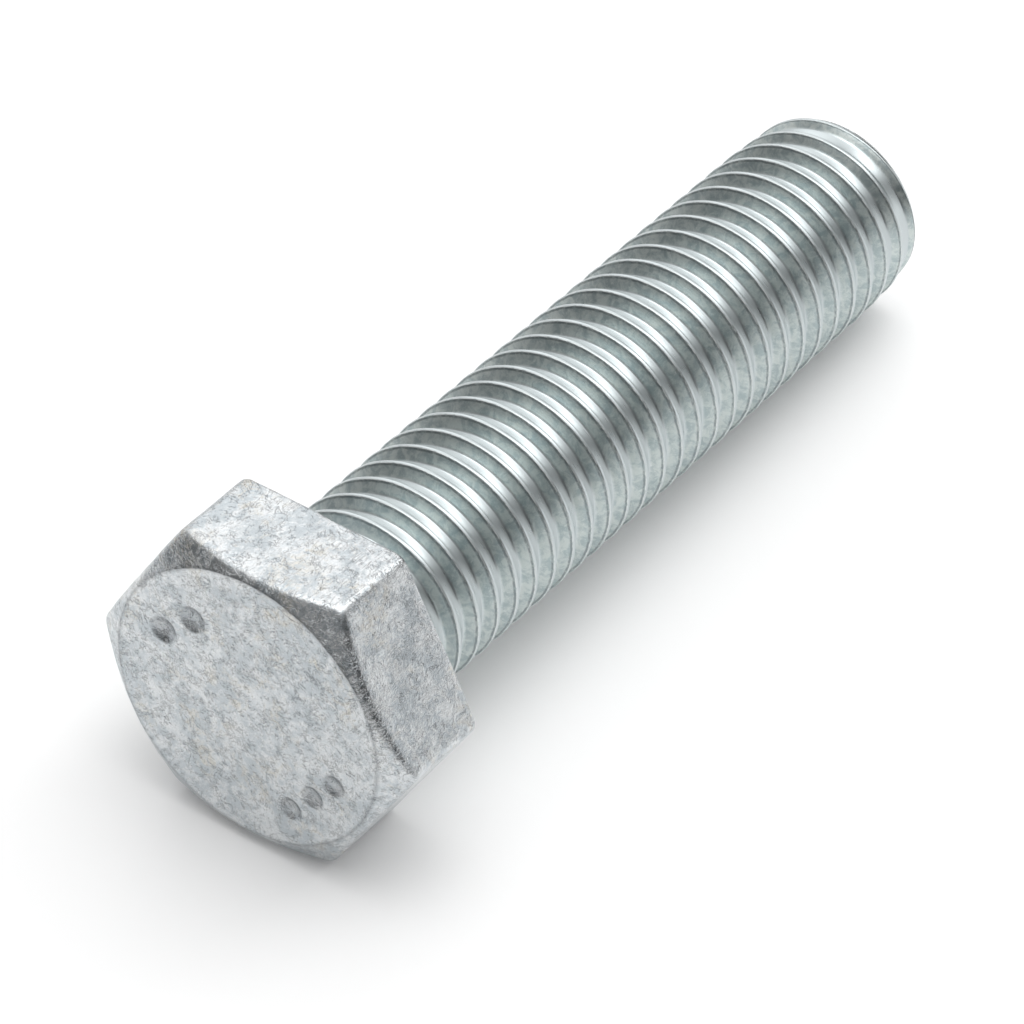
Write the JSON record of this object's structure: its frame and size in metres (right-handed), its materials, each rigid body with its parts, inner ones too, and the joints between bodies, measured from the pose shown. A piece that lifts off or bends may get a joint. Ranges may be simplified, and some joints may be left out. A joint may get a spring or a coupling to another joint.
{
  "type": "hex bolt",
  "caption": "Fully threaded hexagon-head bolt that clamps parts together when turned into a nut or a tapped hole.",
  "frame": {"origin": "on the bolt's axis, in the plane of the bearing face under the head", "axes": "+X along the shank from the head to the tip; +Z is the normal of one wrench flat and the bolt lies on the opposite flat; +Y towards a corner of the head"},
  "size_m": [0.0566, 0.0208, 0.018],
  "materials": {
    "zinc_plated_steel": "bright zinc plating with a thin clear bluish passivation, satin on the forged head and glossier on the rolled thread"
  },
  "bodies": {
    "root": {"hex_bolt": "zinc_plated_steel"}
  },
  "joints": []
}
